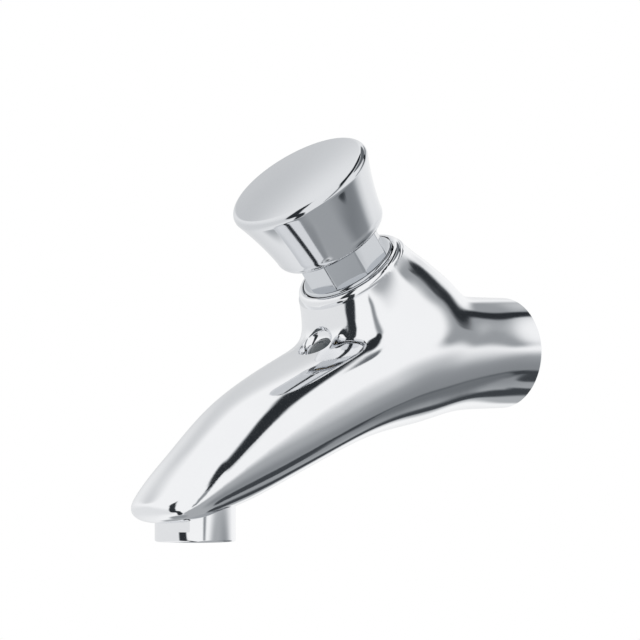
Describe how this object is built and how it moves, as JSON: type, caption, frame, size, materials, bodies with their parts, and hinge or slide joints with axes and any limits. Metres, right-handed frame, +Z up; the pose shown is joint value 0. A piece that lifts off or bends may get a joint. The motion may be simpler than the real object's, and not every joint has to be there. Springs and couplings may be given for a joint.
{
  "type": "wall-mounted cold water tap",
  "caption": "Wall-mounted self-closing cold water tap: cast spout sloping down to an aerator, leaning neck with an octagonal bonnet and a broad push knob.",
  "frame": {"origin": "centre of the threaded inlet's mouth, on the plane of the wall", "axes": "+Y points into the wall, the spout runs towards -Y, +Z is up, and X = 0 is the plane of symmetry"},
  "size_m": [0.0462, 0.1522, 0.1234],
  "materials": {
    "chrome": "polished chrome plate on brass",
    "brass": "machined",
    "stainless": "machined",
    "acetal": "moulded, satin",
    "nitrile": "moulded",
    "index_plastic": "glossy"
  },
  "bodies": {
    "root": {"tap_body": "chrome", "index_plug": "index_plastic", "cartridge_bonnet": "chrome", "bonnet_gasket": "nitrile", "stem_bush": "acetal", "stem_seal": "nitrile", "gland_washer": "brass", "gland_clip": "stainless", "timing_cylinder": "brass", "cylinder_o_ring": "nitrile", "valve_seat": "brass", "seat_gasket": "nitrile", "return_spring": "stainless", "inlet_washer": "nitrile", "inlet_strainer": "stainless", "aerator_housing": "chrome", "aerator_gasket": "nitrile", "jet_regulator": "acetal", "jet_screen": "stainless", "outlet_grid": "acetal"},
    "plunger": {"piston": "acetal", "piston_lip_seal": "nitrile", "stem_retainer": "stainless", "valve_rod": "stainless", "valve_washer": "nitrile", "washer_cup": "brass", "valve_nut": "brass"},
    "button": {"push_knob": "chrome", "stem": "stainless", "knob_jam_nut": "brass"}
  },
  "joints": [
    {"name": "button_press", "type": "slide", "parent": "root", "child": "plunger", "axis": [0, 0.632, -0.7749], "range_m": [0, 0.006], "stiffness_N_per_m": 1500, "springref_m": -0.008, "deforming": ["return_spring"]},
    {"name": "button_turn", "type": "hinge", "parent": "plunger", "child": "button", "pos_m": [0, -0.0712, 0.0258], "axis": [0, -0.632, 0.7749], "continuous": true}
  ]
}
